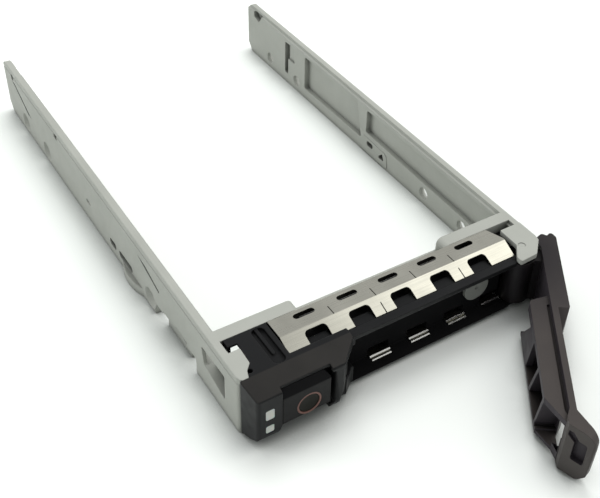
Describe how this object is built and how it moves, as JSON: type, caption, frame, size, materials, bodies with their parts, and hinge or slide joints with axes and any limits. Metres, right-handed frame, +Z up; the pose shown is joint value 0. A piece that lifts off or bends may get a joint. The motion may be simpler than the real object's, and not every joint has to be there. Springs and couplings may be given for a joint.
{
  "type": "hot swap drive caddy",
  "caption": "Open U-shaped tray for a 2.5 inch drive with a black latching bezel, a sprung grounding strip, a release button and a swing-out lever.",
  "frame": {"origin": "on the underside of the tray, on the mid-plane, in line with the stop face that the drive's front end rests on", "axes": "+X to the right as seen from the front of the bezel, +Y back along the rails, +Z up"},
  "size_m": [0.0805, 0.1731, 0.0152],
  "materials": {
    "tray_plastic": "fine matte",
    "bezel_plastic": "fine matte",
    "strip_steel": "satin",
    "button_plastic": "fine matte",
    "ring_plastic": "matte",
    "spring_steel": "drawn wire",
    "lever_plastic": "fine matte",
    "pin_steel": "ground",
    "stud_plastic": "matte",
    "pipe_plastic": "frosted face"
  },
  "bodies": {
    "tray": {"carrier_tray": "tray_plastic", "bezel": "bezel_plastic", "spring_strip_top": "strip_steel", "spring_strip_bottom": "strip_steel", "button_spring": "spring_steel", "hinge_pin": "pin_steel", "fixing_stud": "stud_plastic", "light_pipe_upper": "pipe_plastic", "light_pipe_lower": "pipe_plastic"},
    "lever": {"release_lever": "lever_plastic", "lever_spring": "spring_steel"},
    "button": {"release_button": "button_plastic", "button_ring": "ring_plastic"}
  },
  "joints": [
    {"name": "lever_hinge", "type": "hinge", "parent": "tray", "child": "lever", "pos_m": [0.0321, -0.0115, 0.0075], "axis": [0, 0, 1], "range_deg": [-54.2, 0], "stiffness_Nm_per_rad": 0.01, "springref_deg": 8.59},
    {"name": "button_press", "type": "slide", "parent": "tray", "child": "button", "axis": [0, 1, 0], "range_m": [0, 0.0012], "stiffness_N_per_m": 400, "springref_m": -0.001, "deforming": ["button_spring"]}
  ]
}
